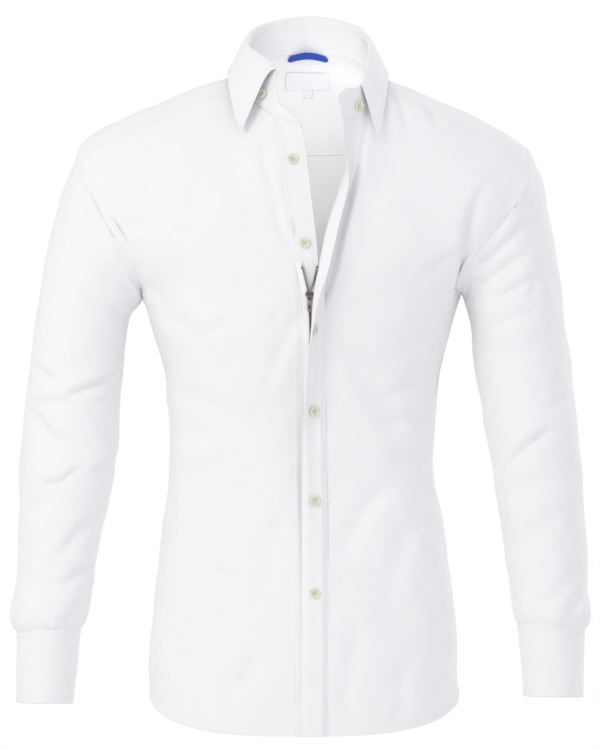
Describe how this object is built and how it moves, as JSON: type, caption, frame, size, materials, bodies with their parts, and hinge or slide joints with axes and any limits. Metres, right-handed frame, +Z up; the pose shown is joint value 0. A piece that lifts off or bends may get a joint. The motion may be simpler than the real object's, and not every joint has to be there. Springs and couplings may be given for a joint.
{
  "type": "zip-front shirt",
  "caption": "Long-sleeved dress shirt in its worn, hollow form, with a folded collar, barrel cuffs and a zip hidden below a buttoned placket that rolls open at the neck.",
  "frame": {"origin": "middle of the neck opening, level with the top of the shoulders, where the wearer's neck holds the shirt", "axes": "+Z up along the wearer, -Y to the shirt's front, +X to the wearer's left"},
  "size_m": [0.6209, 0.2562, 0.7729],
  "materials": {
    "white_cloth": "fine plain-woven white shirting with a soft sheen",
    "zip_tape": "white woven zip tape",
    "dark_metal": "dark nickel zip teeth, slider and stops",
    "pull_metal": "worn rosy-grey metal",
    "pearl_button": "cream pearl button with four holes",
    "blue_loop": "royal blue ribbon",
    "label_cloth": "white satin-woven label, bare"
  },
  "bodies": {
    "shirt": {"front_right": "white_cloth", "front_left": "white_cloth", "back": "white_cloth", "yoke": "white_cloth", "button_band": "white_cloth", "placket": "white_cloth", "sleeve_right": "white_cloth", "cuff_right": "white_cloth", "slit_strip_right": "white_cloth", "sleeve_left": "white_cloth", "cuff_left": "white_cloth", "slit_strip_left": "white_cloth", "collar_stand": "white_cloth", "collar_leaf": "white_cloth", "zip_tape_right": "zip_tape", "zip_tape_left": "zip_tape", "zip_chain_right": "dark_metal", "zip_chain_left": "dark_metal", "zip_slider": "dark_metal", "zip_stop_right": "dark_metal", "zip_stop_left": "dark_metal", "zip_stop_foot": "dark_metal", "button_band_upper": "pearl_button", "button_band_lower": "pearl_button", "button_placket_1": "pearl_button", "button_placket_2": "pearl_button", "button_placket_3": "pearl_button", "button_placket_4": "pearl_button", "button_stand_right": "pearl_button", "button_stand_left": "pearl_button", "button_cuff_right": "pearl_button", "button_cuff_left": "pearl_button", "hanger_loop": "blue_loop", "neck_label": "label_cloth", "size_tab": "label_cloth"},
    "zip_pull": {"zip_pull": "pull_metal"}
  },
  "joints": [
    {"name": "pull_hinge", "type": "hinge", "parent": "shirt", "child": "zip_pull", "pos_m": [0.0016, -0.12384, -0.234], "axis": [-1, 0, 0], "range_deg": [0, 170]}
  ]
}
